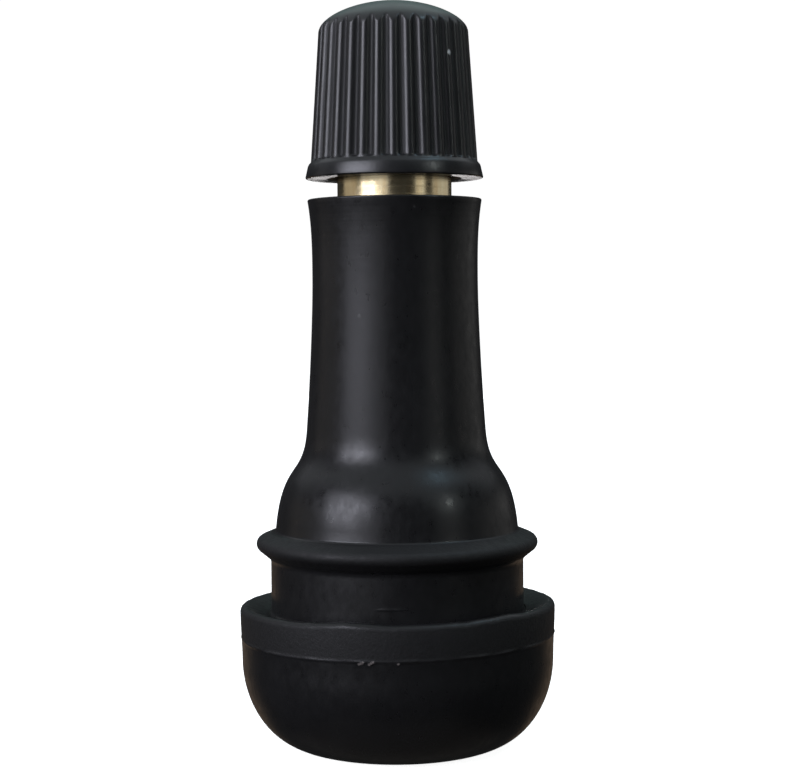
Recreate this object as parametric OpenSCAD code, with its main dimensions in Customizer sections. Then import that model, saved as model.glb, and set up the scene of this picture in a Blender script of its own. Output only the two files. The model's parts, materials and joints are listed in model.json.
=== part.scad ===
// Snap-in tyre valve. A rubber stem is moulded round a brass tube, a spring-loaded valve core is
// screwed into the tube's mouth, and a fluted plastic dust cap is screwed over it.
// The valve stands on the flat under its rubber base. +Z is up along the valve's axis, and the
// origin is the centre of that flat. Every length is in millimetres. The fine threads are drawn
// as plain cylinders of their outer diameter.
// Widths build up from the pin outwards, and heights from the flat upwards, so a change to one
// size carries the pieces round it and above it along.

/* [Rubber base] */
// Diameter of the base flange
base_d = 19.2; // [17:0.1:22]
// Width of the rounded bowl, from the flat under the base out to its side
bowl_w = 4.2; // [2.5:0.1:5]
// Height of the rounded bowl
bowl_h = 5.4; // [3.5:0.1:6.5]
// How far the side of the base leans in from the lip down to the bowl
base_draft = 0.1; // [0:0.05:0.5]
// Height of the upright band, from the bowl to the level of the rim seat
band_h = 2.75; // [2:0.05:4]
// Height of the sealing lip round the flange
lip_h = 0.55; // [0.2:0.05:0.9]
// Radius of the lip's outer edge
lip_round = 0.5; // [0.2:0.05:0.7]
// Rubber left under the brass foot
foot_cover = 3.9; // [2.5:0.1:4.5]
// Bevel at the mouth of the air hole
air_bevel = 0.5; // [0.2:0.05:0.9]

/* [Rim groove] */
// Depth of the groove that the wheel rim sits in, from the edge of the base flange
groove_depth = 1.9; // [1.3:0.05:2.6]
// Width of the groove
groove_w = 3.3; // [2.4:0.1:5]
// How far the retaining bead stands out past the groove
bead_out = 0.8; // [0.6:0.05:1.2]
// Height of the retaining bead
bead_h = 1.7; // [1.5:0.05:2.6]
// Radius of the bead's nose
bead_nose = 0.45; // [0.3:0.05:0.6]

/* [Rubber stem] */
// How far the foot of the bulb stays inside the groove's diameter, on each side
bulb_step = 0.3; // [0:0.05:0.6]
// Height of the bulb, from the bead to the neck
bulb_h = 5.35; // [4:0.05:7]
// Length of the curve that rounds the bulb's shoulder
shoulder_reach = 3.15; // [2:0.05:4]
// Length of the curve that hollows the neck above the bulb
hollow_reach = 1.5; // [0.8:0.05:2.5]
// Rubber over the brass tube at the waist
sleeve_t = 1.62; // [1.2:0.02:2.2]
// How much wider the neck is than the waist, on each side
neck_rise = 0.54; // [0.2:0.02:0.8]
// Length of the slim stem from the neck up to the waist
lower_stem_h = 9.9; // [6:0.1:30]
// Length of the slim stem from the waist up to its top edge
upper_stem_h = 4.67; // [3:0.01:12]
// How much wider the top edge is than the waist, on each side
top_flare = 0.23; // [0:0.01:0.5]

/* [Brass tube] */
// Wall between the core's thread and the outside of the tube
tube_wall = 0.8; // [0.6:0.05:1.2]
// How far the cap's thread stands out of the tube
thread_rise = 0.45; // [0.3:0.05:0.6]
// Bare neck between the top of the rubber and the foot of the cap's thread
thread_relief = 1.8; // [1.5:0.05:2.5]
// Bevel round the mouth of the tube, on its outer edge
mouth_bevel = 0.4; // [0.2:0.05:0.6]
// Bevel round the mouth of the tube, on its inner edge
bore_bevel = 0.2; // [0.1:0.05:0.3]
// Diameter of the air passage below the core
air_d = 3.2; // [2.4:0.1:3.6]
// How far each anchor ring bites into the rubber
anchor_out = 0.5; // [0.3:0.05:0.8]
// Height of an anchor ring
anchor_h = 1.0; // [0.6:0.1:1.5]
// Distance between the anchor rings
anchor_pitch = 2.5; // [1.8:0.1:3]
// Depth of the first anchor ring below the neck
anchor_drop = 1.0; // [0.5:0.1:2]
// How far the brass foot stands out of the tube
foot_out = 1.4; // [0.8:0.1:2]
// Thickness of the brass foot
foot_t = 0.9; // [0.6:0.1:1.4]

/* [Core pin and spring] */
// Diameter of the pin
pin_d = 1.1; // [0.9:0.05:1.3]
// Depth of the pin's tip below the mouth of the tube
pin_drop = 0.25; // [0:0.05:0.6]
// How far the pin can be pressed
pin_travel = 1.6; // [1:0.1:2]
// Clearance round the pin in the hole of the tool bar
pin_fit = 0.04; // [0.02:0.01:0.08]
// Thickness of the collar that the spring lifts
collar_t = 0.5; // [0.3:0.05:0.8]
// Free space between the collar and the tool bar
collar_gap = 0.8; // [0.4:0.05:1.4]
// Clearance round the collar in the barrel
collar_clear = 0.1; // [0.05:0.01:0.13]
// Diameter of the spring's wire
wire_d = 0.26; // [0.2:0.01:0.32]
// Clearance on both sides of the spring's wire
coil_clear = 0.145; // [0.12:0.005:0.25]
// Number of turns in the spring
spring_turns = 11; // [8:1:14]
// Clearance at each end of the spring
spring_end_gap = 0.02; // [0.01:0.01:0.05]
// How far the rivet under the cup stands out of the pin
rivet_out = 0.25; // [0.15:0.05:0.4]
// Height of the rivet under the cup
rivet_h = 0.5; // [0.3:0.05:0.8]

/* [Core plug] */
// Depth of the plug's top below the mouth of the tube
core_drop = 1.2; // [0.8:0.05:2]
// Length of the threaded sleeve
plug_l = 4.4; // [3.6:0.1:6]
// Wall of the threaded sleeve
plug_wall = 0.85; // [0.6:0.05:1]
// Clearance round the sleeve's thread
plug_fit = 0.04; // [0.02:0.01:0.08]
// Width across the flats of the tool bar
bar_w = 2.2; // [1.8:0.1:2.6]
// Height of the tool bar
bar_h = 1.6; // [1.2:0.1:2.2]
// Height of the tool bar's flats above the sleeve
flats_h = 0.6; // [0.3:0.05:1]
// How far the tool bar's ends stay inside the thread
bar_inset = 0.45; // [0.2:0.05:0.6]

/* [Core barrel and cup] */
// Wall of the barrel's slim tube
barrel_wall = 0.4; // [0.35:0.05:0.6]
// Length of the barrel's slim tube
barrel_l = 5.5; // [4.5:0.1:9]
// Wall of the swivel spigot
spigot_wall = 0.55; // [0.4:0.05:0.8]
// Height of the swivel spigot
spigot_h = 0.8; // [0.5:0.05:1.2]
// Clearance round the swivel spigot
swivel_clear = 0.1; // [0.05:0.01:0.2]
// Thickness of the flange that the plug presses on
barrel_flange_t = 0.7; // [0.5:0.05:1]
// Clearance round that flange
barrel_flange_clear = 0.35; // [0.2:0.05:0.5]
// Height of the gasket round the barrel
gasket_h = 2.3; // [1.6:0.1:3]
// Clearance between the gasket and the tube's cone
gasket_fit = 0.04; // [0.01:0.01:0.06]
// How far the land under the gasket stands out of the slim tube
land_out = 0.25; // [0.15:0.05:0.35]
// How far the gasket sits in behind that land
gasket_bite = 0.2; // [0.1:0.05:0.3]
// Thickness of that land
land_t = 0.5; // [0.3:0.05:0.8]
// Clearance round the pin in the barrel's throat, where air passes
throat_clear = 0.15; // [0.1:0.01:0.25]
// Length of the throat
throat_l = 1.0; // [0.6:0.1:1.6]
// Depth of the recess inside the valve seat
seat_recess = 0.9; // [0.5:0.1:1.4]
// Width of the valve seat's edge
seat_w = 0.45; // [0.35:0.01:0.5]
// How far the seal reaches out under the valve seat's edge
seal_overlap = 0.2; // [0.1:0.02:0.3]
// Height of the rubber seal in the cup
seal_h = 1.7; // [1.2:0.1:2.4]
// How far the seal stands out of the cup
seal_proud = 0.3; // [0.15:0.05:0.5]
// Wall of the cup
cup_wall = 0.3; // [0.2:0.05:0.4]
// Thickness of the cup's floor
cup_floor = 0.6; // [0.4:0.05:1]
// Air gap round the cup
cup_air = 0.4; // [0.25:0.05:0.6]
// Room left under the pin when it is pressed down
press_room = 0.8; // [0.4:0.1:3]

/* [Dust cap] */
// Depth inside the cap
cap_depth = 9.0; // [7:0.1:14]
// Gap between the cap's bottom edge and the rubber
cap_gap = 1.35; // [0.5:0.05:1.7]
// Clearance round the cap's thread
cap_clear = 0.05; // [0.04:0.01:0.1]
// Bevel at the mouth of the cap's bore
cap_bevel = 0.22; // [0.1:0.02:0.4]
// Wall of the cap at the top of the flutes
cap_wall = 0.64; // [0.5:0.02:1.2]
// How much wider the fluted wall is at its foot than at its top, on each side
cap_draft = 0.46; // [0.1:0.02:0.8]
// Height of the rounded dome
dome_h = 2.05; // [1.2:0.05:3]
// How far the cap's ceiling reaches up into the dome
ceiling_rise = 0.38; // [0:0.02:0.6]
// Number of flutes
flute_count = 32; // [20:1:36]
// Radius of the flutes
flute_r = 0.33; // [0.27:0.01:0.38]
// Depth of the flutes
flute_depth = 0.25; // [0.15:0.01:0.27]
// Plain wall left between the flutes and the bottom rim
flute_gap = 0.1; // [0.05:0.05:0.4]
// How far the bottom rim stands out past the flutes
rim_out = 0.32; // [0.1:0.02:0.6]
// Height of the bottom rim
rim_h = 1; // [0.7:0.05:1.6]
// Radius of the rim's lower edge
rim_round = 0.1; // [0.05:0.05:0.3]
// Thickness of the sealing disc in the cap
cap_seal_t = 0.6; // [0.4:0.05:1]
// Clearance round the sealing disc
cap_seal_fit = 0.04; // [0.02:0.01:0.1]

/* [Hidden] */
$fn = 96;
curve_steps = 16;
edge_steps = 6;
cut = 1;

rubber_black = [0.07, 0.07, 0.075];
brass_gold = [0.80, 0.62, 0.30];
steel_grey = [0.62, 0.63, 0.65];
gasket_red = [0.45, 0.10, 0.08];
cap_black = [0.05, 0.055, 0.06];

// Radii of the core, from the pin outwards
pin_r = pin_d / 2;
throat_r = pin_r + throat_clear;
rivet_r = pin_r + rivet_out;
wire_r = wire_d / 2;
coil_r = pin_r + coil_clear + wire_r;
spring_bore_r = coil_r + wire_r + coil_clear;
collar_r = spring_bore_r - collar_clear;
barrel_r = spring_bore_r + barrel_wall;
land_r = barrel_r + land_out;
gasket_in_r = land_r - gasket_bite;
spigot_r = spring_bore_r + spigot_wall;
sleeve_in_r = spigot_r + swivel_clear;
core_r = sleeve_in_r + plug_wall;
barrel_flange_r = core_r - barrel_flange_clear;
seat_in_r = barrel_r - seat_w;
seal_r = seat_in_r + seal_overlap;
cup_r = seal_r + cup_wall;
chamber_r = cup_r + cup_air;

// Radii of the brass tube, the cap and the rubber
air_r = air_d / 2;
tube_r = core_r + tube_wall;
thread_r = tube_r + thread_rise;
foot_r = tube_r + foot_out;
cap_bore_r = thread_r + cap_clear;
cap_top_r = cap_bore_r + cap_wall;
cap_foot_r = cap_top_r + cap_draft;
rim_r = cap_foot_r + rim_out;
waist_r = tube_r + sleeve_t;
neck_r = waist_r + neck_rise;
base_r = base_d / 2;
bowl_r = base_r - base_draft;
flat_r = bowl_r - bowl_w;
groove_r = base_r - groove_depth;
bulb_r = groove_r - bulb_step;
bead_r = groove_r + bead_out;

// Heights of the rubber and of the brass in it
foot_z = foot_cover;
seat_z = bowl_h + band_h;
bead_z = seat_z + groove_w;
bulb_z = bead_z + bead_h;
neck_z = bulb_z + bulb_h;
waist_z = neck_z + lower_stem_h;
rubber_top_z = waist_z + upper_stem_h;
thread_foot_z = rubber_top_z + thread_relief;

// Heights of the cap, which is screwed down until its sealing disc meets the tube's mouth
cap_foot_z = rubber_top_z + cap_gap;
rim_top_z = cap_foot_z + rim_h;
ceiling_z = cap_foot_z + cap_depth;
tip_z = ceiling_z - cap_seal_t;
dome_z = ceiling_z - ceiling_rise;

// Heights of the core, from the tube's mouth down
pin_top_z = tip_z - pin_drop;
plug_top_z = tip_z - core_drop;
sleeve_top_z = plug_top_z - flats_h;
plug_foot_z = sleeve_top_z - plug_l;
bar_foot_z = plug_top_z - bar_h;
collar_top_z = bar_foot_z - collar_gap;
collar_foot_z = collar_top_z - collar_t;
gasket_top_z = plug_foot_z - barrel_flange_t;
gasket_foot_z = gasket_top_z - gasket_h;
land_foot_z = gasket_foot_z - land_t;
valve_seat_z = land_foot_z - barrel_l;
throat_foot_z = valve_seat_z + seat_recess;
spring_floor_z = throat_foot_z + throat_l;
seal_foot_z = valve_seat_z - seal_h;
cup_foot_z = seal_foot_z - cup_floor;
pin_foot_z = cup_foot_z - rivet_h;
chamber_foot_z = pin_foot_z - pin_travel - press_room;

function arc(centre, rx, rz, from, to, steps) =
    [for (i = [0:steps]) let (a = from + (to - from) * i / steps)
        [centre[0] + rx * cos(a), centre[1] + rz * sin(a)]];

function bezier(a, b, c, d, steps) =
    [for (i = [0:steps]) let (t = i / steps, s = 1 - t)
        s * s * s * a + 3 * s * s * t * b + 3 * s * t * t * c + t * t * t * d];

// Turns an outline of [radius, height] points about the valve's axis
module turned(outline) {
    rotate_extrude() polygon(outline);
}

// Outside of the brass that is buried in the rubber, from the top of the rubber down to the foot
anchor_count = 3;
anchor_top_z = neck_z - anchor_drop;

function anchor_outline(z) = [[tube_r, z], [tube_r + anchor_out, z], [tube_r, z - anchor_h]];

function buried_outline() = concat(
    [[tube_r, rubber_top_z]],
    [for (i = [0:anchor_count - 1]) each anchor_outline(anchor_top_z - i * anchor_pitch)],
    [[tube_r, foot_z + foot_t + foot_out], [foot_r, foot_z + foot_t], [foot_r, foot_z]]);

// The base is a bowl with an upright band. Its lip wraps over to a dish that falls to the groove.
lip_wrap = 100;

function base_outline() = concat(
    arc([flat_r, bowl_h], bowl_w, bowl_h, -90, 0, curve_steps),
    arc([base_r - lip_round, seat_z + lip_h - lip_round], lip_round, lip_round, 0, lip_wrap,
        edge_steps),
    [[groove_r, seat_z]]);

// The bead has straight flanks that leave its round nose at these angles below and above level
bead_under = 52;
bead_over = 64;

function bead_outline() = concat(
    [[groove_r, bead_z]],
    arc([bead_r - bead_nose, bead_z + bead_h / 2], bead_nose, bead_nose, -bead_under, bead_over,
        edge_steps));

// One curve rounds the bulb's shoulder and hollows the neck. It leans a little at both ends.
shoulder_lean = 0.2;
hollow_lean = 0.16;

function bulb_outline() = bezier(
    [bulb_r, bulb_z],
    [bulb_r - shoulder_lean, bulb_z + shoulder_reach],
    [neck_r + hollow_lean, neck_z - hollow_reach],
    [neck_r, neck_z], curve_steps);

// The stem narrows slowly to its waist, then flares more sharply to its top edge
stem_steps = 8;
taper_power = 2;
flare_power = 3;

function lower_stem_outline() = [for (i = [1:stem_steps]) let (t = 1 - i / stem_steps)
    [waist_r + neck_rise * pow(t, taper_power), waist_z - lower_stem_h * t]];

function upper_stem_outline() = [for (i = [1:stem_steps]) let (t = i / stem_steps)
    [waist_r + top_flare * pow(t, flare_power), waist_z + upper_stem_h * t]];

module rubber_body() {
    air_hole = [[air_r, foot_z], [air_r, air_bevel], [air_r + air_bevel, 0]];
    color(rubber_black)
        turned(concat(base_outline(), bead_outline(), bulb_outline(), lower_stem_outline(),
                      upper_stem_outline(), buried_outline(), air_hole));
}

// The tube's core chamber is a threaded mouth, a cone that the gasket seals on and a straight bore
cone_top_z = gasket_top_z + barrel_flange_t / 2;
cone_foot_z = gasket_foot_z - land_t / 2;

function cone_r(z) =
    chamber_r + (core_r - chamber_r) * (z - cone_foot_z) / (cone_top_z - cone_foot_z);

module brass_stem() {
    outside = concat(
        [[thread_r - mouth_bevel, tip_z], [thread_r, tip_z - mouth_bevel],
         [thread_r, thread_foot_z + thread_rise], [tube_r, thread_foot_z]],
        buried_outline());
    bore = [[air_r, foot_z], [air_r, chamber_foot_z - (chamber_r - air_r)],
            [chamber_r, chamber_foot_z], [chamber_r, cone_foot_z], [core_r, cone_top_z],
            [core_r, tip_z - bore_bevel], [core_r + bore_bevel, tip_z]];
    color(brass_gold) turned(concat(outside, bore));
}

// A tube or rod between two heights
module rod(r, from_z, to_z) {
    translate([0, 0, from_z]) cylinder(r = r, h = to_z - from_z);
}

// The plug is a threaded sleeve bridged by a bar. The flats on the bar take the fitting tool, and
// air passes on both sides of it.
module core_plug() {
    color(brass_gold) difference() {
        union() {
            difference() {
                rod(core_r - plug_fit, plug_foot_z, sleeve_top_z);
                rod(sleeve_in_r, plug_foot_z - cut, sleeve_top_z + cut);
            }
            intersection() {
                rod(core_r - bar_inset, bar_foot_z, plug_top_z);
                translate([-core_r, -bar_w / 2, bar_foot_z]) cube([2 * core_r, bar_w, bar_h]);
            }
        }
        rod(pin_r + pin_fit, bar_foot_z - cut, plug_top_z + cut);
    }
}

// The barrel swivels under the plug on its spigot, carries the gasket, and ends in the valve seat
module core_barrel() {
    outside = [[seat_in_r, valve_seat_z], [barrel_r, valve_seat_z], [barrel_r, land_foot_z],
               [land_r, land_foot_z], [land_r, gasket_foot_z], [gasket_in_r, gasket_foot_z],
               [gasket_in_r, gasket_top_z], [barrel_flange_r, gasket_top_z],
               [barrel_flange_r, plug_foot_z], [spigot_r, plug_foot_z],
               [spigot_r, plug_foot_z + spigot_h]];
    bore = [[spring_bore_r, plug_foot_z + spigot_h], [spring_bore_r, spring_floor_z],
            [throat_r, spring_floor_z], [throat_r, throat_foot_z], [seat_in_r, throat_foot_z]];
    color(brass_gold) turned(concat(outside, bore));
}

module barrel_gasket() {
    color(gasket_red)
        turned([[gasket_in_r, gasket_foot_z], [cone_r(gasket_foot_z) - gasket_fit, gasket_foot_z],
                [cone_r(gasket_top_z) - gasket_fit, gasket_top_z], [gasket_in_r, gasket_top_z]]);
}

// The pin has a rounded tip to press, a collar that the spring lifts, and a rivet under the cup
module core_pin() {
    shank = [[0, pin_foot_z], [rivet_r, pin_foot_z], [rivet_r, cup_foot_z], [pin_r, cup_foot_z],
             [pin_r, collar_foot_z], [collar_r, collar_foot_z], [collar_r, collar_top_z],
             [pin_r, collar_top_z]];
    tip = arc([0, pin_top_z - pin_r], pin_r, pin_r, 0, 90, edge_steps);
    color(steel_grey) turned(concat(shank, tip));
}

// The spring's wire follows a helix whose first and last turns lie almost closed
wire_sides = 6;
rings_per_turn = 16;
closed_rise = 1.2 * wire_d;
spring_rings = rings_per_turn * spring_turns;
spring_low_z = spring_floor_z + spring_end_gap + wire_r;
spring_high_z = collar_foot_z - spring_end_gap - wire_r;
open_rise = (spring_high_z - spring_low_z - 2 * closed_rise) / (spring_turns - 2);

function coil_z(turn) =
    turn < 1 ? spring_low_z + closed_rise * turn :
    turn > spring_turns - 1 ? spring_high_z - closed_rise * (spring_turns - turn) :
    spring_low_z + closed_rise + open_rise * (turn - 1);

function wire_ring(turn) =
    [for (k = [0:wire_sides - 1])
        let (a = 360 * k / wire_sides, r = coil_r + wire_r * cos(a))
            [r * cos(360 * turn), r * sin(360 * turn), coil_z(turn) + wire_r * sin(a)]];

module core_spring() {
    points = [for (i = [0:spring_rings]) each wire_ring(i / rings_per_turn)];
    last = spring_rings * wire_sides;
    skin = [for (i = [0:spring_rings - 1], k = [0:wire_sides - 1])
        let (a = i * wire_sides + k, b = i * wire_sides + (k + 1) % wire_sides)
            each [[a, a + wire_sides, b], [b, a + wire_sides, b + wire_sides]]];
    low_end = [[for (k = [0:wire_sides - 1]) k]];
    high_end = [[for (k = [wire_sides - 1:-1:0]) last + k]];
    color(steel_grey) polyhedron(points, concat(skin, low_end, high_end));
}

module core_cup() {
    rim_z = valve_seat_z - seal_proud;
    color(brass_gold)
        turned([[pin_r, cup_foot_z], [cup_r, cup_foot_z], [cup_r, rim_z], [seal_r, rim_z],
                [seal_r, seal_foot_z], [pin_r, seal_foot_z]]);
}

module cup_seal() {
    color(rubber_black)
        turned([[pin_r, seal_foot_z], [seal_r, seal_foot_z], [seal_r, valve_seat_z],
                [pin_r, valve_seat_z]]);
}

// A flute is a slim rod that leans in with the cap's wall and runs out through the dome
module flute() {
    lean = atan(cap_draft / (dome_z - rim_top_z));
    translate([cap_foot_r + flute_r - flute_depth, 0, rim_top_z + flute_gap])
        rotate([0, -lean, 0]) cylinder(r = flute_r, h = cap_depth + dome_h);
}

// The rim's lower edge turns under from upright to this angle, and its upper edge is bevelled
rim_wrap = 60;
rim_bevel = rim_out / 2;

// The dome is a little more pointed than half an ellipse, which would have a power of 2
dome_power = 1.65;

function dome_outline() = [for (i = [0:curve_steps]) let (a = 90 * i / curve_steps)
    [cap_top_r * pow(cos(a), 2 / dome_power), dome_z + dome_h * pow(sin(a), 2 / dome_power)]];

// A rib faces +X, so the first flute is turned on by half the angle between two ribs
half_rib = 180 / flute_count;

module dust_cap() {
    outside = concat(
        [[rim_r - rim_round, cap_foot_z]],
        arc([rim_r - rim_round, cap_foot_z + rim_round], rim_round, rim_round, -rim_wrap, 0,
            edge_steps),
        [[cap_foot_r + rim_bevel, rim_top_z - rim_bevel], [cap_foot_r, rim_top_z]],
        dome_outline());
    bore = [[0, ceiling_z], [cap_bore_r, ceiling_z], [cap_bore_r, cap_foot_z + cap_bevel],
            [cap_bore_r + cap_bevel, cap_foot_z]];
    color(cap_black) difference() {
        turned(concat(outside, bore));
        for (i = [0:flute_count - 1]) rotate([0, 0, 360 * i / flute_count + half_rib]) flute();
    }
}

module cap_seal() {
    color(rubber_black) rod(cap_bore_r - cap_seal_fit, tip_z, ceiling_z);
}

rubber_body();
brass_stem();
core_plug();
core_barrel();
barrel_gasket();
core_pin();
core_spring();
core_cup();
cup_seal();
dust_cap();
cap_seal();
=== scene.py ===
import json
import math

import bpy
from mathutils import Matrix, Vector, noise


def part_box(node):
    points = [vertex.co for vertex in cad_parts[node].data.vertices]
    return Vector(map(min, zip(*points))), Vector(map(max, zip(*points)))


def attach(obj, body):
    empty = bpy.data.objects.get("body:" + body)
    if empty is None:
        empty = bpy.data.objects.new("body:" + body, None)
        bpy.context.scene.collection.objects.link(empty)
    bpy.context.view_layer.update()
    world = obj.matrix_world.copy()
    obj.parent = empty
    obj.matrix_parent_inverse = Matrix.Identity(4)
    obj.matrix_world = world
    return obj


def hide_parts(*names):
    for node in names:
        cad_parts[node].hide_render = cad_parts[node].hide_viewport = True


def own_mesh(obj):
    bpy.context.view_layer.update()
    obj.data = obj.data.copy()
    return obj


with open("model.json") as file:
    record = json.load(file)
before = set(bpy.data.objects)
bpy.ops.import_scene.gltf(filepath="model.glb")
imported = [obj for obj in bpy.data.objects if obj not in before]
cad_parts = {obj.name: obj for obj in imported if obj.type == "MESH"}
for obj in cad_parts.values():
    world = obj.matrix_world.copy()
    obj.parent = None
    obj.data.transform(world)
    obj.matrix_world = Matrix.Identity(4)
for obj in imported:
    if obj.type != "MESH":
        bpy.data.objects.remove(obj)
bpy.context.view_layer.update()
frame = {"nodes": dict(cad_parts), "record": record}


# Brass tube. One piece of brass, turned and threaded on a lathe, with a foot and three barbed rings
# that the rubber is moulded on. The cap's thread is cut round its mouth, and the core's thread
# inside it. Only a bare bright neck shows while the cap is on.
scene = bpy.context.scene
mm = 0.001
inch = 25.4 * mm
same_point = 0.0001 * mm
full_turn = 2 * math.pi
mounts = {mount["name"]: mount for mount in frame["record"]["mounts"]}
tube_low, tube_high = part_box("brass_stem")
rubber_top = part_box("rubber_body")[1].z

foot_r = tube_high.x
foot_z = tube_low.z
foot_t = 0.9 * mm
foot_out = 1.4 * mm
tube_r = foot_r - foot_out
tube_columns = 160
barb_count = 3
barb_out = 0.5 * mm
barb_h = 1.0 * mm
barb_pitch = 2.5 * mm
barb_top = foot_z + 13.6 * mm
barb_heights = [barb_top - barb_pitch * i for i in range(barb_count)]
bare_r = tube_r + 0.06 * mm
tip_z = tube_high.z
mouth_bevel = 0.4 * mm

thread_pitch = inch / 32
thread_r = mounts["valve_mouth"]["dims"]["r_mm"] * mm
thread_foot = tip_z - mounts["valve_mouth"]["dims"]["length_mm"] * mm
thread_run_in = 0.5 * mm
thread_start = thread_foot - thread_run_in
thread_end = tip_z - mouth_bevel
rows_per_pitch = 12

air_r = 1.6 * mm
chamber_r = 1.95 * mm
chamber_foot = tip_z - 20.4 * mm
cone_foot = tip_z - 9.45 * mm
cone_top = tip_z - 6.55 * mm
core_bore_r = 2.6 * mm
core_pitch = inch / 36
core_thread_depth = 0.24 * mm
core_thread_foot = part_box("core_plug")[1].z
bore_bevel = 0.2 * mm


def straight(start, end, steps):
    """Points on a line from start to end."""
    return [tuple(s + (e - s) * i / steps for s, e in zip(start, end)) for i in range(steps + 1)]


def run_on(*runs):
    """Joins runs of points into one outline, without the points that two runs share."""
    outline = []
    for point in (point for run in runs for point in run):
        if not outline or math.dist(outline[-1], point) > same_point:
            outline.append(point)
    return outline


def lathe(name, outline, columns, skin, crease=40, closed=True):
    """Turns an outline of (radius, height) points. Angle 0 faces the front, -Y."""
    vertices, rows, faces = [], [], []
    for r, z in outline:
        count = columns if r > 0 else 1
        rows.append([len(vertices) + c for c in range(count)])
        for c in range(count):
            a = full_turn * c / columns
            skin_r, skin_z = skin(r, z, a)
            vertices.append((skin_r * math.sin(a), -skin_r * math.cos(a), skin_z))
    for lower, upper in zip(rows, rows[1:] + rows[:1] if closed else rows[1:]):
        for c in range(columns):
            left, right = c, (c + 1) % columns
            ring = [lower[left % len(lower)], lower[right % len(lower)],
                    upper[right % len(upper)], upper[left % len(upper)]]
            face = list(dict.fromkeys(ring))
            if len(face) > 2:
                faces.append(face)
    mesh = bpy.data.meshes.new(name)
    mesh.from_pydata(vertices, [], faces)
    mesh.shade_smooth()
    mesh.set_sharp_from_angle(angle=math.radians(crease))
    piece = bpy.data.objects.new(name, mesh)
    scene.collection.objects.link(piece)
    return piece


def ease(value, low, high):
    """Rises smoothly from 0 at low to 1 at high."""
    t = min(max((value - low) / (high - low), 0), 1)
    return t * t * (3 - 2 * t)


def tooth(z, a, pitch):
    """Height of a rounded right-hand thread, 0 at its root and 1 at its crest."""
    return 0.5 + 0.5 * math.cos(full_turn * z / pitch - a)


def buried_wall():
    """Outside of the brass in the rubber, from the top of the rubber down to the foot."""
    wall = [(tube_r, rubber_top)]
    for z in barb_heights:
        wall += [(tube_r, z), (tube_r + barb_out, z), (tube_r, z - barb_h)]
    return wall + [(tube_r, foot_z + foot_t + foot_out), (foot_r, foot_z + foot_t), (foot_r, foot_z)]


def brass_skin(r, z, a):
    """Cuts the cap's thread outside the mouth and the core's thread inside it."""
    if z > rubber_top and r > core_bore_r + bore_bevel:
        rise = ease(z, thread_start, thread_foot + thread_run_in)
        crest = bare_r + (thread_r - bare_r) * rise * tooth(z, a, thread_pitch)
        return min(r, crest), z
    if z > core_thread_foot and r > core_bore_r - bore_bevel:
        fade = ease(z, core_thread_foot, core_thread_foot + core_pitch)
        return r - core_thread_depth * fade * tooth(z, a, core_pitch), z
    return r, z


thread_steps = round((tip_z - rubber_top) / thread_pitch * rows_per_pitch)
core_steps = round((tip_z - core_thread_foot) / core_pitch * rows_per_pitch)
brass_outline = run_on(
    buried_wall()[::-1],
    straight((bare_r, rubber_top), (bare_r, thread_start), steps=3),
    straight((thread_r, thread_start), (thread_r, thread_end), thread_steps)[1:],
    straight((thread_r, thread_end), (thread_r - mouth_bevel, tip_z), steps=4),
    [(core_bore_r + bore_bevel, tip_z)],
    straight((core_bore_r, tip_z - bore_bevel), (core_bore_r, core_thread_foot), core_steps),
    [(core_bore_r, cone_top), (chamber_r, cone_foot), (chamber_r, chamber_foot),
     (air_r, chamber_foot - (chamber_r - air_r)), (air_r, foot_z)])
brass_tube = lathe("turned_brass_tube", brass_outline, tube_columns, brass_skin)

noise_low = 0.3
noise_high = 0.7


def node(tree, kind, sockets=None, **settings):
    """Adds a node, with each socket linked to an output or given a value."""
    made = tree.nodes.new(kind)
    for name, value in settings.items():
        setattr(made, name, value)
    for socket, value in (sockets or {}).items():
        if isinstance(value, bpy.types.NodeSocket):
            tree.links.new(value, made.inputs[socket])
        else:
            made.inputs[socket].default_value = value
    return made


def finish(name, **values):
    """Starts a material with uniform values on its shader. Gives its tree, shader and place."""
    material = bpy.data.materials.new(name)
    material.use_nodes = True
    tree = material.node_tree
    shader = tree.nodes["Principled BSDF"]
    for socket, value in values.items():
        shader.inputs[socket.replace("_", " ")].default_value = value
    place = node(tree, "ShaderNodeTexCoord").outputs["Object"]
    return material, tree, shader, place


def dress(tree, shader, **outputs):
    """Links the outputs that vary over the surface to the shader."""
    for socket, output in outputs.items():
        tree.links.new(output, shader.inputs[socket.replace("_", " ")])


def stretched(tree, place, across, along):
    """The place with its own scale across the axis and along it, in features per metre."""
    return node(tree, "ShaderNodeVectorMath", {0: place, 1: (across, across, along)},
                operation="MULTIPLY").outputs["Vector"]


def grain(tree, vector, scale=1.0, detail=4.0, roughness=0.55):
    """Noise with a given number of features per metre."""
    return node(tree, "ShaderNodeTexNoise", {"Vector": vector, "Scale": scale, "Detail": detail,
                                             "Roughness": roughness}).outputs["Fac"]


def spread(tree, value, low, high, to_low=0.0, to_high=1.0):
    """Maps a range of values onto another."""
    return node(tree, "ShaderNodeMapRange", {"Value": value, "From Min": low, "From Max": high,
                                             "To Min": to_low, "To Max": to_high}).outputs["Result"]


def tint(tree, factor, low, high):
    """A colour between two, by a noise."""
    ramp = node(tree, "ShaderNodeValToRGB", {"Fac": factor})
    ramp.color_ramp.elements[0].position = noise_low
    ramp.color_ramp.elements[0].color = (*low, 1)
    ramp.color_ramp.elements[1].position = noise_high
    ramp.color_ramp.elements[1].color = (*high, 1)
    return ramp.outputs["Color"]


def dulled(tree, factor, smooth, rough):
    """A roughness between two, by a noise."""
    return spread(tree, factor, noise_low, noise_high, smooth, rough)


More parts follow.
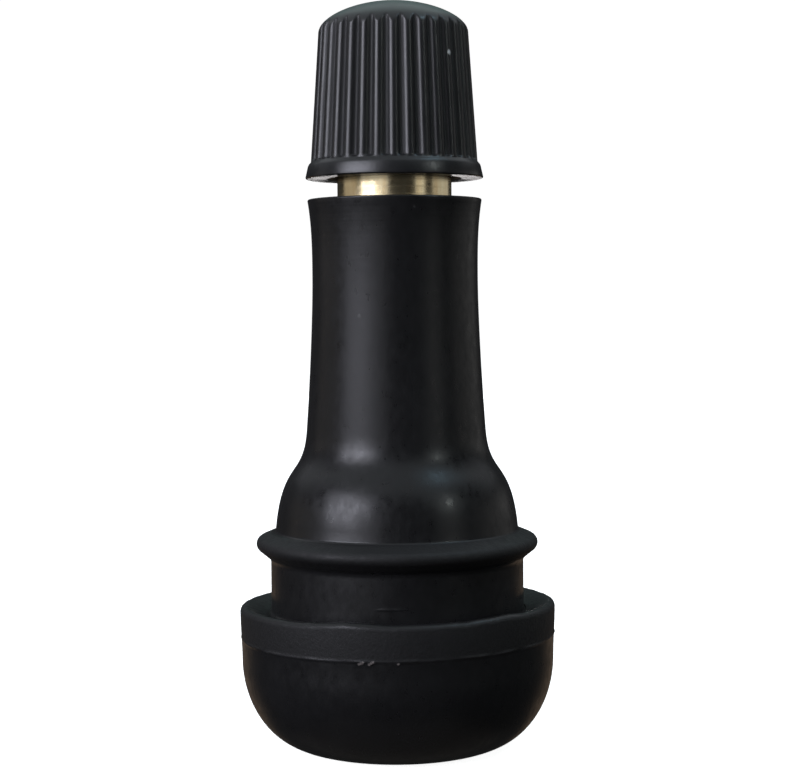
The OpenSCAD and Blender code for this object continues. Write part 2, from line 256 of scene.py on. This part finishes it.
def relief(tree, height, depth, below=None):
    """Bumps of a given depth in metres, on top of other bumps."""
    sockets = {"Height": height, "Distance": depth, "Strength": 1.0}
    if below:
        sockets["Normal"] = below
    return node(tree, "ShaderNodeBump", sockets).outputs["Normal"]


def turned_brass():
    """Pale bright brass with fine tool rings and a little tarnish in streaks down it."""
    tarnished = (0.84, 0.67, 0.39)
    bright = (1.0, 0.88, 0.58)
    material, tree, shader, place = finish("turned_brass", Metallic=1.0)
    rings = grain(tree, stretched(tree, place, across=60, along=5200), detail=3)
    streaks = grain(tree, stretched(tree, place, across=2600, along=300), detail=5)
    dress(tree, shader, Base_Color=tint(tree, streaks, tarnished, bright),
          Roughness=dulled(tree, rings, smooth=0.15, rough=0.29),
          Normal=relief(tree, rings, depth=0.004 * mm))
    return material


brass = turned_brass()
brass_tube.data.materials.append(brass)
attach(brass_tube, "valve_body")
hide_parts("brass_stem")


# Rubber body. Black rubber, moulded in one piece round the brass: a domed base with a lip, the
# groove that the wheel rim sits in, a bead that holds it there, a bulb and a slim stem. The halves
# of the mould met round the base, and left a broken line of flash with torn nibs.
base_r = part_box("rubber_body")[1].x
base_tilt = 0.1 * mm
tilt_foot = 3 * mm
bowl_r = base_r - 0.1 * mm
bowl_w = 4.2 * mm
bowl_h = 5.4 * mm
air_bevel = 0.5 * mm
groove_r = mounts["rim_seat"]["dims"]["r_mm"] * mm
groove_w = mounts["rim_seat"]["dims"]["length_mm"] * mm
groove_foot = mounts["rim_seat"]["pos_m"][2] - groove_w / 2
groove_top = groove_foot + groove_w
groove_foot_soft = 0.25 * mm
groove_top_soft = 0.2 * mm
rubber_columns = 360

lip_h = 0.55 * mm
lip_round = 0.35 * mm
lip_lift = 0.15 * mm
lip_in_r = groove_r + 0.1 * mm
slow_uneven = 0.03 * mm
quick_uneven = 0.02 * mm
# The lip's swells, each with its angle from the front in degrees and its height
lip_swells = [(-18, 0.16 * mm), (40, 0.12 * mm)]
swell_half = 1.7 * mm

bead_r = groove_r + 0.87 * mm
bead_h = 1.7 * mm
bead_nose = 0.45 * mm
bead_top_soft = 0.12 * mm
nose_z = groove_top + 0.92 * mm
bulb_r = groove_r - 0.3 * mm
bulb_foot = groove_top + bead_h
bulb_lean = 0.4 * mm
bulb_reach = 4.33 * mm
neck_z = bulb_foot + 6.1 * mm
neck_lean = 0.22 * mm
neck_reach = 3.0 * mm
waist_z = neck_z + 9.16 * mm
waist_r = tube_r + 1.62 * mm
neck_r = waist_r + 0.43 * mm
stem_top_r = waist_r + 0.27 * mm
stem_end = rubber_top + 0.12 * mm
edge_round = 0.12 * mm

flash_z = groove_foot - 1.34 * mm
flash_in_r = bowl_r - 0.3 * mm
flash_half = 0.08 * mm
flash_h = 0.055 * mm
flash_mean = 0.45
flash_change = 1.2
nib_r = 0.075 * mm
nib_h = 0.06 * mm
# The nibs' places to the right of the front and above the flash, in mm
nib_places = [(-2.22, -0.16), (-2.11, -0.11), (-2.00, -0.06),
              (-1.62, -0.17), (-1.52, -0.09), (-1.42, -0.01), (0.02, -0.12)]
scuff_z = groove_foot + 1.28 * mm
scuff_half = 0.06 * mm
scuff_h = 0.025 * mm
scuff_reach = mm
scuff_left = (-1.6 * mm, -1.1 * mm)
scuff_right = (0.9 * mm, 0.4 * mm)


def arc(centre, radius_r, radius_z, start, end, steps):
    """Points of an ellipse between two angles, in degrees."""
    angles = [math.radians(start + (end - start) * i / steps) for i in range(steps + 1)]
    return [(centre[0] + radius_r * math.cos(a), centre[1] + radius_z * math.sin(a)) for a in angles]


def bezier(a, b, c, d, steps):
    """Points of a smooth curve from a to d that leaves towards b and comes in from c."""
    points = []
    for i in range(steps + 1):
        t = i / steps
        weights = ((1 - t) ** 3, 3 * t * (1 - t) ** 2, 3 * t * t * (1 - t), t ** 3)
        points.append(tuple(sum(w * p[k] for w, p in zip(weights, (a, b, c, d))) for k in (0, 1)))
    return points


def softened(before, corner, after, reach, pull=0.4, steps=5):
    """A rounded corner that starts and ends at a given reach from the sharp one."""
    corner = Vector(corner)
    start = corner + (Vector(before) - corner).normalized() * reach
    end = corner + (Vector(after) - corner).normalized() * reach
    return bezier(start, corner.lerp(start, pull), corner.lerp(end, pull), end, steps)


def from_waist(end_r, end_z, power, steps):
    """Points of the stem from its waist to one of its ends, where it flares."""
    ways = [i / steps for i in range(steps + 1)]
    return [(waist_r + (end_r - waist_r) * t ** power, waist_z + (end_z - waist_z) * t) for t in ways]


def wobble(a, beats, seed):
    """Smooth unevenness round the axis, from about -1 to 1, that meets itself after a turn."""
    return noise.noise((beats * math.sin(a), beats * math.cos(a), seed))


def hump(distance, half_width):
    """A rounded bump, 1 at its middle."""
    return math.exp(-(distance / half_width) ** 2)


def rubber_skin(r, z, a):
    """Adds the flash and nibs, the tilt of the base, the uneven lip and the scuff in the groove."""
    from_front = base_r * ((a + math.pi) % full_turn - math.pi)
    if r > flash_in_r and z < groove_foot:
        up = z - flash_z
        broken = max(0, flash_mean + flash_change * wobble(a, beats=7, seed=3.0))
        nib = max(hump(math.hypot(from_front - x * mm, up - y * mm), nib_r) for x, y in nib_places)
        r += flash_h * broken * hump(up, flash_half) + nib_h * nib
    if r > lip_in_r and z < groove_top:
        uneven = slow_uneven * wobble(a, beats=9, seed=8.0)
        uneven += quick_uneven * wobble(a, beats=30, seed=5.0)
        for degrees, rise in lip_swells:
            uneven += rise * hump(from_front - base_r * math.radians(degrees), swell_half)
        at_lip = ease(z, flash_z, groove_foot + lip_h) * ease(r, groove_r, groove_r + mm)
        tilt = base_tilt * ease(z, tilt_foot, flash_z) * math.sin(a)
        z += tilt + at_lip * (lip_lift * math.cos(a) + uneven)
    if abs(r - groove_r) < same_point and abs(z - scuff_z) < scuff_reach:
        ends = ease(from_front, *scuff_left) * ease(from_front, *scuff_right)
        r += scuff_h * hump(z - scuff_z, scuff_half) * ends
    return r, z


bowl = arc((bowl_r - bowl_w, bowl_h), bowl_w, bowl_h, start=-90, end=0, steps=30)
lip_centre = (base_r - lip_round, groove_foot + lip_h - lip_round)
lip = arc(lip_centre, lip_round, lip_round, start=0, end=100, steps=12)
band_heights = [bowl_h + 0.5 * mm, bowl_h + mm, flash_z - 0.4 * mm]
band_heights += [flash_z + flash_half * i / 2 for i in range(-6, 7)]
band_heights += [flash_z + 0.4 * mm, flash_z + 0.8 * mm]
band = [(bowl_r + (base_r - bowl_r) * ease(z, bowl_h, lip_centre[1]), z) for z in band_heights]

dish_foot = (groove_r, groove_foot)
bead_foot = (groove_r, groove_top)
groove_heights = [groove_foot + 0.3 * mm, groove_foot + 0.8 * mm]
groove_heights += [scuff_z + scuff_half * i / 2 for i in range(-5, 6)]
groove_heights += [groove_top - mm, groove_top - 0.3 * mm]
groove = [(groove_r, z) for z in groove_heights]
nose = arc((bead_r - bead_nose, nose_z), bead_nose, bead_nose, start=-52, end=64, steps=14)

# The softened corner over the bead takes the place of the bulb's first two points
bulb_start = (bulb_r, bulb_foot)
bulb = bezier(bulb_start, (bulb_r - bulb_lean, bulb_foot + bulb_reach),
              (neck_r + neck_lean, neck_z - neck_reach), (neck_r, neck_z), steps=36)[2:]
lower_stem = from_waist(neck_r, neck_z, power=1.56, steps=20)[::-1]
upper_stem = from_waist(stem_top_r, stem_end, power=3, steps=14)[:-1]
stem_edge = softened(upper_stem[-1], (stem_top_r, stem_end), (bare_r, stem_end), edge_round)

rubber_outline = run_on(
    bowl, band, lip, softened(lip[-1], dish_foot, bead_foot, groove_foot_soft),
    groove, softened(dish_foot, bead_foot, nose[0], groove_top_soft),
    nose, softened(nose[-1], bulb_start, bulb[0], bead_top_soft),
    bulb, lower_stem, upper_stem, stem_edge,
    [(bare_r, stem_end), (bare_r, rubber_top)], buried_wall(),
    [(air_r, foot_z), (air_r, air_bevel), (air_r + air_bevel, 0)])
rubber_body = lathe("moulded_rubber_body", rubber_outline, rubber_columns, rubber_skin)


def combine(tree, operation, *values):
    """A sum, a product or the larger of some values."""
    return node(tree, "ShaderNodeMath", dict(enumerate(values)), operation=operation).outputs[0]


def measure(tree, operation, *places):
    """A length or a distance between places, or a height along a direction."""
    made = node(tree, "ShaderNodeVectorMath", dict(enumerate(places)), operation=operation)
    return made.outputs["Value"]


def from_axis(tree, place):
    """How far a place is from the valve's axis."""
    return measure(tree, "LENGTH", stretched(tree, place, across=1, along=0))


def blend(tree, factor, low, high):
    """A colour between two colours, either of which may come from another node."""
    return node(tree, "ShaderNodeMix", {0: factor, 6: low, 7: high}, data_type="RGBA").outputs[2]


def on_skin(degrees, z, r):
    """A point on a turned surface, at an angle from the front."""
    a = math.radians(degrees)
    return (r * math.sin(a), -r * math.cos(a), z)


def specks(tree, place, spots, radius):
    """A mask of small ragged spots."""
    ragged = node(tree, "ShaderNodeTexNoise", {"Vector": place, "Scale": 6000.0, "Detail": 2.0})
    shaken = node(tree, "ShaderNodeVectorMath",
                  {0: ragged.outputs["Color"], 1: (radius,) * 3, 2: place},
                  operation="MULTIPLY_ADD").outputs["Vector"]
    mask = None
    for x, y, z in spots:
        centre = (x + radius / 2, y + radius / 2, z + radius / 2)
        away = measure(tree, "DISTANCE", shaken, centre)
        spot = spread(tree, away, 0.5 * radius, radius, 1.0, 0.0)
        mask = combine(tree, "MAXIMUM", mask, spot) if mask else spot
    return mask


def layer(tree, level, low, high, fade):
    """A mask that is 1 between two levels and fades out beyond them."""
    above = spread(tree, level, low - fade, low)
    below = spread(tree, level, high, high + fade, 1.0, 0.0)
    return combine(tree, "MULTIPLY", above, below)


def moulded_rubber():
    """Satin black rubber, mottled where it shines and dull on the bead and above the flash.
    The nibs are torn pale, and a few specks of dust cling to the stem."""
    deep_black = (0.0080, 0.0080, 0.0086)
    soft_black = (0.0120, 0.0120, 0.0127)
    dull_black = (0.0100, 0.0100, 0.0106, 1)
    flash_grey = (0.032, 0.032, 0.034, 1)
    torn_grey = (0.14, 0.125, 0.12, 1)
    dust_grey = (0.05, 0.05, 0.05, 1)
    dulling = 0.28
    torn_r = 1.4 * nib_r
    dust_r = 0.14 * mm

    material, tree, shader, place = finish("moulded_rubber", Specular_IOR_Level=0.35)
    level = measure(tree, "DOT_PRODUCT", place, (-base_tilt / base_r, 0, 1))
    cloud = grain(tree, place, scale=330, detail=6)
    mottle = grain(tree, stretched(tree, place, across=2400, along=1500), detail=2)
    fine = grain(tree, place, scale=5200, detail=3)
    rings = grain(tree, stretched(tree, place, across=90, along=3000), detail=2)

    past_groove = spread(tree, from_axis(tree, place), groove_r + 0.2 * mm, groove_r + 0.6 * mm)
    above_flash = layer(tree, level, flash_z + 0.1 * mm, groove_foot + 0.5 * mm, fade=0.15 * mm)
    on_band = combine(tree, "MULTIPLY", above_flash, past_groove)
    on_bead = layer(tree, level, groove_top + 0.2 * mm, bulb_foot - 0.1 * mm, fade=0.1 * mm)
    is_dull = combine(tree, "MAXIMUM", on_band, on_bead)
    near_top = spread(tree, level, waist_z, rubber_top - mm)
    at_flash = layer(tree, level, flash_z - 0.02 * mm, flash_z + 0.03 * mm, fade=0.06 * mm)
    broken = spread(tree, grain(tree, place, scale=420, detail=2), 0.42, 0.6, to_high=0.8)
    on_flash = combine(tree, "MULTIPLY", at_flash, broken)
    torn = [on_skin(math.degrees(x * mm / base_r), flash_z + y * mm, base_r) for x, y in nib_places]
    dust = [on_skin(12.8, rubber_top - 0.57 * mm, stem_top_r),
            on_skin(11.5, rubber_top - 1.27 * mm, stem_top_r),
            on_skin(-24.5, rubber_top - 6.87 * mm, waist_r)]

    skin = tint(tree, cloud, deep_black, soft_black)
    skin = blend(tree, is_dull, skin, dull_black)
    skin = blend(tree, on_flash, skin, flash_grey)
    skin = blend(tree, specks(tree, place, torn, torn_r), skin, torn_grey)
    skin = blend(tree, specks(tree, place, dust, dust_r), skin, dust_grey)
    gloss = dulled(tree, mottle, smooth=0.27, rough=0.40)
    bumps = relief(tree, combine(tree, "MULTIPLY", rings, near_top), depth=0.008 * mm)
    bumps = relief(tree, mottle, depth=0.005 * mm, below=bumps)
    bumps = relief(tree, fine, depth=0.002 * mm, below=bumps)
    bumps = relief(tree, combine(tree, "MULTIPLY", fine, is_dull), depth=0.02 * mm, below=bumps)
    dress(tree, shader, Base_Color=skin, Normal=bumps,
          Roughness=combine(tree, "MULTIPLY_ADD", is_dull, dulling, gloss))
    return material


rubber_body.data.materials.append(moulded_rubber())
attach(rubber_body, "valve_body")
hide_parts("rubber_body")


# Valve core. A brass plug with a tool bar, a brass barrel that swivels under it and a brass cup on
# the foot of the pin, all turned small. They are plain shapes with crisp edges, so the solids stay.
def finish_solid(name, material):
    """Gives a solid of the frame its material."""
    for place in frame["nodes"][name].material_slots:
        place.material = material


finish_solid("core_plug", brass)
finish_solid("core_barrel", brass)
finish_solid("core_cup", brass)


# Core gasket. A small conical ring of red plastic, pressed on the barrel. It seats in the cone of
# the tube's bore as the plug is screwed down, and seals the barrel there.
def red_gasket():
    """Matt red plastic with faint mottling."""
    deep_red = (0.33, 0.055, 0.042)
    pale_red = (0.46, 0.090, 0.065)
    material, tree, shader, place = finish("red_gasket")
    cloud = grain(tree, place, scale=900)
    fine = grain(tree, place, scale=5000)
    dress(tree, shader, Base_Color=tint(tree, cloud, deep_red, pale_red),
          Roughness=dulled(tree, cloud, smooth=0.48, rough=0.60),
          Normal=relief(tree, fine, depth=0.004 * mm))
    return material


finish_solid("barrel_gasket", red_gasket())


# Core pin. Steel wire, drawn and cut to length, with a rounded tip and a collar upset on it. It
# slides in the barrel, and its foot is riveted over under the cup.
def drawn_steel():
    """Bright steel with fine lines along the wire."""
    dark_steel = (0.50, 0.50, 0.51)
    pale_steel = (0.66, 0.66, 0.67)
    material, tree, shader, place = finish("drawn_steel", Metallic=1.0)
    lines = grain(tree, stretched(tree, place, across=9000, along=250), detail=2)
    dress(tree, shader, Base_Color=tint(tree, lines, dark_steel, pale_steel),
          Roughness=dulled(tree, lines, smooth=0.22, rough=0.36),
          Normal=relief(tree, lines, depth=0.003 * mm))
    return material


steel = drawn_steel()
finish_solid("core_pin", steel)


# Core spring. Round spring wire coiled round the pin, with its first and last turns closed. It stands on
# the barrel's floor and lifts the pin's collar. It shortens as the pin is pressed, but is coiled here at
# rest.
spring_low, spring_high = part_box("core_spring")
wire_r = 0.13 * mm
wire_sides = 10
wire_crease = 50
coil_r = spring_high.x - wire_r
coil_turns = 11
rings_per_turn = 28
closed_rise = 2.4 * wire_r
coil_foot = spring_low.z + wire_r
coil_top = spring_high.z - wire_r
open_rise = (coil_top - coil_foot - 2 * closed_rise) / (coil_turns - 2)


def coil_height(turn):
    """Height of the wire's middle after some turns from the foot."""
    if turn < 1:
        return coil_foot + closed_rise * turn
    if turn > coil_turns - 1:
        return coil_top - closed_rise * (coil_turns - turn)
    return coil_foot + closed_rise + open_rise * (turn - 1)


coil_rings = coil_turns * rings_per_turn
wire_points = []
for i in range(coil_rings + 1):
    a = full_turn * i / rings_per_turn
    for k in range(wire_sides):
        b = full_turn * k / wire_sides
        r = coil_r + wire_r * math.cos(b)
        z = coil_height(i / rings_per_turn) + wire_r * math.sin(b)
        wire_points.append((r * math.cos(a), r * math.sin(a), z))
wire_faces = [list(range(wire_sides)), [len(wire_points) - 1 - k for k in range(wire_sides)]]
for i in range(coil_rings):
    for k in range(wire_sides):
        low, high = i * wire_sides, (i + 1) * wire_sides
        n = (k + 1) % wire_sides
        wire_faces.append([low + k, high + k, high + n, low + n])
coil_mesh = bpy.data.meshes.new("wound_spring")
coil_mesh.from_pydata(wire_points, [], wire_faces)
coil_mesh.shade_smooth()
coil_mesh.set_sharp_from_angle(angle=math.radians(wire_crease))
spring = bpy.data.objects.new("wound_spring", coil_mesh)
scene.collection.objects.link(spring)
spring.data.materials.append(steel)

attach(spring, "valve_body")
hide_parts("core_spring")
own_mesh(spring)


# Seals. Two small pieces of black rubber: a ring in the cup that closes on the barrel's edge, and a
# disc in the roof of the cap that closes on the tube's mouth.
def soft_rubber():
    """Matt black rubber with a dusty bloom."""
    matt_black = (0.014, 0.014, 0.014)
    bloom_grey = (0.032, 0.032, 0.033)
    material, tree, shader, place = finish("soft_rubber")
    bloom = grain(tree, place, scale=1200, detail=5)
    fine = grain(tree, place, scale=4500)
    dress(tree, shader, Base_Color=tint(tree, bloom, matt_black, bloom_grey),
          Roughness=dulled(tree, bloom, smooth=0.55, rough=0.72),
          Normal=relief(tree, fine, depth=0.006 * mm))
    return material


seal_rubber = soft_rubber()
finish_solid("cup_seal", seal_rubber)
finish_solid("cap_seal", seal_rubber)


# Dust cap. Black plastic, moulded in one piece: a dome over 32 ribs, a plain flared rim under them,
# and a thread inside that screws on the brass. It has been handled, and one rib has a small nick.
cap_low, cap_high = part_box("dust_cap")
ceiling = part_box("cap_seal")[1].z
cap_foot = cap_low.z
cap_top = cap_high.z
rim_r = cap_high.x + 0.06 * mm
rim_h = 1.0 * mm
rim_round = 0.1 * mm
rim_bevel = 0.16 * mm
rim_soft = 0.12 * mm
rim_top = cap_foot + rim_h
wall_foot_r = rim_r - 0.33 * mm
wall_top_r = wall_foot_r - 0.52 * mm
wall_soft = 0.06 * mm
dome_h = 1.88 * mm
dome_power = 1.8
dome_z = cap_top - dome_h
cap_clear = 0.05 * mm
cap_bore_r = thread_r + cap_clear
cap_bevel = 0.22 * mm
cap_run_in = 0.6 * mm
cap_thread_depth = 0.42 * mm
bore_rows_per_pitch = 8

rib_count = 32
columns_per_rib = 16
rib_slope = math.radians(55)
rib_share = 0.70
flute_foot = rim_top + wall_soft
flute_full = rim_top + 0.2 * mm
cap_crease = 60


def wall_r(z):
    """Radius of the ribs' crests, on a cone that runs on up through the dome."""
    return wall_foot_r + (wall_top_r - wall_foot_r) * (z - rim_top) / (dome_z - rim_top)


def flute(z, a):
    """How deep the surface lies under the ribs' crests, on a wave of two arcs. A rib faces the front."""
    from_rib = abs((a * rib_count / full_turn + 0.5) % 1 - 0.5)
    pitch = full_turn * wall_r(z) / rib_count
    both_r = pitch / 2 / math.sin(rib_slope)
    crest_r = rib_share * both_r
    hollow_r = both_r - crest_r
    if from_rib < rib_share / 2:
        return crest_r - math.sqrt(crest_r ** 2 - (from_rib * pitch) ** 2)
    rise = hollow_r - math.sqrt(hollow_r ** 2 - ((0.5 - from_rib) * pitch) ** 2)
    return both_r * (1 - math.cos(rib_slope)) - rise


def cap_skin(r, z, a):
    """Cuts the thread inside the cap and the flutes outside it."""
    if z <= ceiling and r == cap_bore_r:
        rise = ease(z, cap_foot + cap_bevel, cap_foot + cap_bevel + cap_run_in)
        fade = ease(z, tip_z, tip_z - cap_run_in)
        return r - cap_thread_depth * rise * fade * (1 - tooth(z, a, thread_pitch)), z
    if z > rim_top:
        return min(r, wall_r(z) - flute(z, a) * ease(z, rim_top, flute_full)), z
    return r, z


def dome_point(degrees):
    """A point of the dome, which is a little more pointed than half an ellipse."""
    a = math.radians(degrees)
    share = 2 / dome_power
    return wall_top_r * math.cos(a) ** share, dome_z + dome_h * math.sin(a) ** share


rim_foot = (rim_r, cap_foot + rim_round)
rim_foot_arc = arc((rim_r - rim_round, cap_foot + rim_round), rim_round, rim_round,
                   start=-90, end=0, steps=8)
rim_edge = (wall_foot_r + rim_bevel, rim_top - rim_bevel)
wall_foot = (wall_foot_r, rim_top)
wall_top = (wall_top_r, dome_z)
dome = [dome_point(degrees) for degrees in range(0, 85, 3)]
bore_steps = round((ceiling - cap_foot) / thread_pitch * bore_rows_per_pitch)
cap_outline = run_on(
    [(cap_bore_r + cap_bevel, cap_foot)], rim_foot_arc,
    softened(rim_foot, rim_edge, wall_foot, rim_soft),
    softened(rim_edge, wall_foot, wall_top, wall_soft),
    straight((wall_r(flute_foot), flute_foot), (wall_r(flute_full), flute_full), steps=6),
    straight((wall_r(flute_full), flute_full), wall_top, steps=16),
    dome, [(0, cap_top), (0, ceiling)],
    straight((cap_bore_r, ceiling), (cap_bore_r, cap_foot + cap_bevel), bore_steps))
dust_cap = lathe("ribbed_dust_cap", cap_outline, rib_count * columns_per_rib, cap_skin, cap_crease)


def cap_plastic():
    """Satin black plastic with a white nick. Handling has polished the crests of the ribs, and the
    flutes between them are dull."""
    deep_black = (0.0095, 0.0100, 0.0110)
    soft_black = (0.0150, 0.0155, 0.0165)
    nick_white = (0.62, 0.64, 0.66, 1)
    nick = on_skin(45.0, cap_foot + 7.19 * mm, 4.66 * mm)
    nick_r = 0.18 * mm
    flute_side = 0.10 * mm
    flute_bed = 0.18 * mm
    crest_dulling = 0.03
    bed_dulling = 0.32

    material, tree, shader, place = finish("cap_plastic", Specular_IOR_Level=0.5)
    height = node(tree, "ShaderNodeSeparateXYZ", {0: place}).outputs["Z"]
    crest_line = spread(tree, height, rim_top, dome_z, wall_foot_r, wall_top_r)
    sunk = combine(tree, "SUBTRACT", crest_line, from_axis(tree, place))
    in_flute = spread(tree, sunk, flute_side, flute_bed, crest_dulling, bed_dulling)
    on_ribs = layer(tree, height, rim_top, dome_z, fade=0.8 * mm)
    cloud = grain(tree, place, scale=500, detail=6)
    fine = grain(tree, place, scale=5200, detail=3)

    skin = tint(tree, cloud, deep_black, soft_black)
    skin = blend(tree, specks(tree, place, [nick], nick_r), skin, nick_white)
    gloss = dulled(tree, cloud, smooth=0.27, rough=0.36)
    dress(tree, shader, Base_Color=skin, Normal=relief(tree, fine, depth=0.004 * mm),
          Roughness=combine(tree, "MULTIPLY_ADD", in_flute, on_ribs, gloss))
    return material


dust_cap.data.materials.append(cap_plastic())
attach(dust_cap, "cap")
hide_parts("dust_cap")


# Floor. A pale sheet, laid flat and curved up into walls all round, and lit to white. Only the camera
# sees it, so that the black rubber stays dark. Its glow is dimmed round the valve's foot, a painted
# shadow, so that the valve's real shadow shows on it as no more than a trace.
sheet_r = 2.5
sheet_bend = 0.8
sheet_h = 3.0
sheet_columns = 64
shadow_reach = 25 * mm
shadow_core = 0.4 * shadow_reach
shadow_glow = 0.93
bend_r = sheet_r - sheet_bend
sheet_outline = run_on(
    [(0, 0)], straight((shadow_reach, 0), (bend_r, 0), steps=4),
    arc((bend_r, sheet_bend), sheet_bend, sheet_bend, start=-90, end=0, steps=12),
    [(sheet_r, sheet_h)])
floor = lathe("pale_floor", sheet_outline, sheet_columns, lambda r, z, a: (r, z), closed=False)
floor.visible_diffuse = False
floor.visible_glossy = False
floor.visible_shadow = False


def pale_sheet():
    """White sheet that glows to pure white away from the valve, and less brightly near it: a painted
    shadow.
    """
    greyer = (0.84, 0.84, 0.84)
    whiter = (0.88, 0.88, 0.88)
    material, tree, shader, place = finish("pale_sheet", Roughness=0.9, Specular_IOR_Level=0.1,
                                           Emission_Color=(1, 1, 1, 1))
    away = measure(tree, "LENGTH", place)
    mottle = grain(tree, place, scale=40)
    dress(tree, shader, Base_Color=tint(tree, mottle, greyer, whiter),
          # The glow dims towards the valve's foot: a painted shadow, over which the real shadow falls.
          Emission_Strength=spread(tree, away, shadow_core, shadow_reach, to_low=shadow_glow))
    return material


floor.data.materials.append(pale_sheet())


# Light. A dim even room with soft boxes: a ceiling, a strong window at the front left over a long low
# panel, a bluish window and a small lamp at the right, pale panels and wings at the sides, a greenish
# panel high at the back, warm bounces from below, and a strip behind for the underside of the rim.
room = bpy.data.worlds.new("dim_room")
room.use_nodes = True
room.node_tree.nodes["Background"].inputs["Color"].default_value = (0.94, 0.96, 1.0, 1)
room.node_tree.nodes["Background"].inputs["Strength"].default_value = 0.03
scene.world = room
scene.view_settings.view_transform = "Standard"
middle = Vector((0, 0, 24.4 * mm))


def soft_box(name, azimuth, elevation, width, height, brightness, colour, distance=0.4):
    """An area light that faces the valve's middle. The azimuth goes from the front to the right and
    the elevation up from level, in degrees. The width, height and distance are in metres."""
    lamp = bpy.data.lights.new(name, "AREA")
    lamp.shape = "RECTANGLE"
    lamp.size = width
    lamp.size_y = height
    lamp.color = colour
    lamp.energy = brightness * math.pi * width * height
    side, up = math.radians(azimuth), math.radians(elevation)
    away = Vector((math.sin(side) * math.cos(up), -math.cos(side) * math.cos(up), math.sin(up)))
    box = bpy.data.objects.new(name, lamp)
    facing = away.to_track_quat("Z", "Y").to_matrix().to_4x4()
    box.matrix_world = Matrix.Translation(middle + away * distance) @ facing
    box.visible_camera = False
    scene.collection.objects.link(box)


soft_box("ceiling", 0, 90, 1.0, 1.0, 0.55, (0.90, 0.96, 1.0))
soft_box("back_ceiling", 180, 50, 0.30, 0.40, 0.3, (0.60, 0.97, 0.92))
soft_box("floor_glow", 0, -90, 0.6, 0.6, 0.06, (1.0, 0.90, 0.80))
soft_box("key_window", -55, 20, 0.215, 0.165, 8.2, (0.87, 0.88, 1.0))
soft_box("key_side", -35, 22, 0.11, 0.13, 5.5, (0.87, 0.88, 1.0))
soft_box("low_panel", -42, 1, 0.44, 0.13, 0.8, (0.95, 0.95, 1.0))
soft_box("blue_window", 77, 58, 0.15, 0.026, 14.0, (0.50, 0.80, 1.0))
soft_box("lamp", 54, 24.5, 0.024, 0.024, 60.0, (0.92, 1.0, 0.98))
soft_box("right_panel", 53, 4, 0.14, 0.09, 0.62, (1.0, 0.98, 0.95))
soft_box("far_right_panel", 110, 4, 0.42, 0.10, 0.37, (1.0, 0.98, 0.95))
soft_box("left_panel", -100, 4, 0.30, 0.10, 0.32, (1.0, 0.90, 0.78))
soft_box("left_wing", -122, 30, 0.26, 0.18, 0.4, (0.92, 0.95, 1.0))
soft_box("right_wing", 122, 30, 0.26, 0.18, 0.36, (0.92, 0.95, 1.0))
soft_box("left_bounce", -152, -20, 0.20, 0.14, 0.2, (1.0, 0.70, 0.46))
soft_box("right_bounce", 152, -20, 0.20, 0.14, 0.2, (1.0, 0.70, 0.46))
soft_box("back_bounce", 180, -3, 0.06, 0.03, 4.2, (1.0, 0.96, 0.95))


# Camera. A little above the middle of the valve, just below the level of the stem's waist, looking
# slightly down at it from close by, and leaning a touch to the right.
photo_width = 796
focal_px = 1841
eye = Vector((0.127 * mm, -112 * mm, 27.23 * mm))
tilt_down = math.radians(2.68)
lean = math.radians(-0.435)
camera_data = bpy.data.cameras.new("camera")
camera_data.sensor_width = 36
camera_data.lens = camera_data.sensor_width * focal_px / photo_width
camera_data.clip_start = 5 * mm
camera = bpy.data.objects.new("camera", camera_data)
camera.matrix_world = (Matrix.Translation(eye) @ Matrix.Rotation(math.pi / 2 - tilt_down, 4, "X")
                       @ Matrix.Rotation(lean, 4, "Z"))
scene.collection.objects.link(camera)
scene.camera = camera
